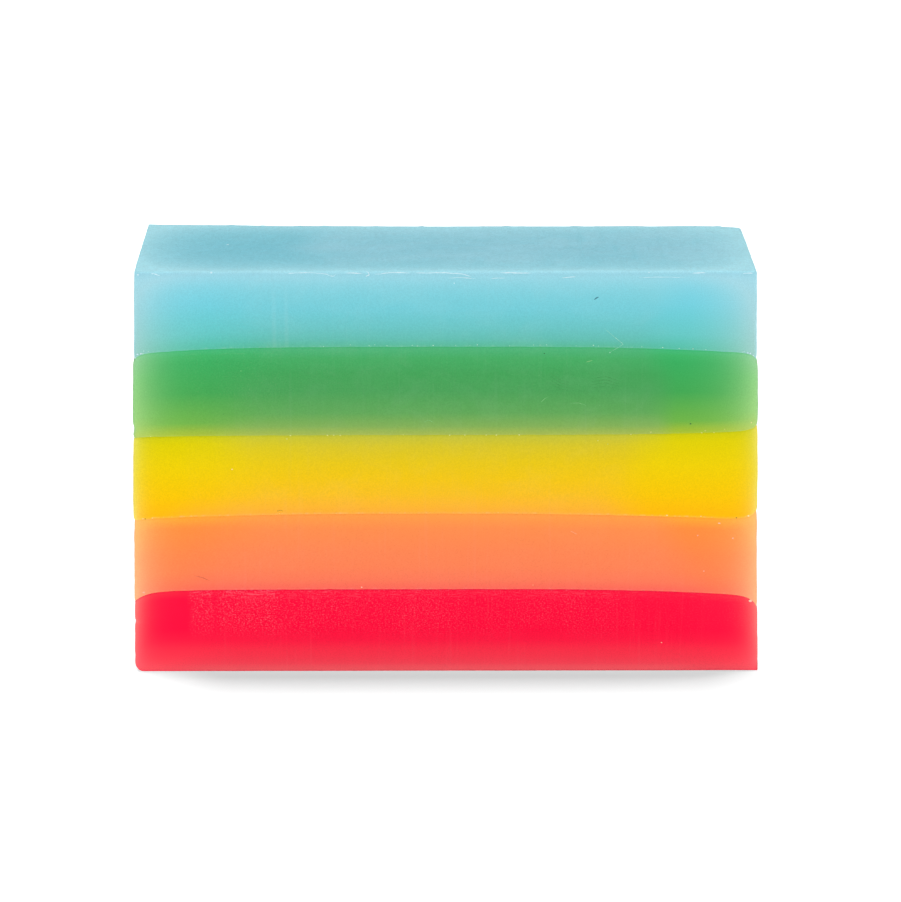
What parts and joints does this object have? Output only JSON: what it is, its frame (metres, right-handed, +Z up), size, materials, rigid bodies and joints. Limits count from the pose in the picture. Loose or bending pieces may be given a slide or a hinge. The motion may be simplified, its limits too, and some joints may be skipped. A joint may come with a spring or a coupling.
{
  "type": "layered soap loaf slice",
  "caption": "Thick slice cut across a poured soap loaf, with red, orange, yellow, green and blue layers bonded one on another.",
  "frame": {"origin": "middle of the face that the slice stands on (the side of the loaf that was poured last), at the bottom centre of the slice's box", "axes": "+Z up through the layers, +X across the loaf along the slice's longest side, +Y through the slice's thickness from the front cut face to the back one"},
  "size_m": [0.089, 0.0254, 0.059],
  "materials": {
    "red_soap": "satin",
    "orange_soap": "satin",
    "yellow_soap": "satin",
    "green_soap": "satin",
    "blue_soap": "satin"
  },
  "bodies": {
    "root": {"red_layer": "red_soap", "orange_layer": "orange_soap", "yellow_layer": "yellow_soap", "green_layer": "green_soap", "blue_layer": "blue_soap"}
  },
  "joints": []
}
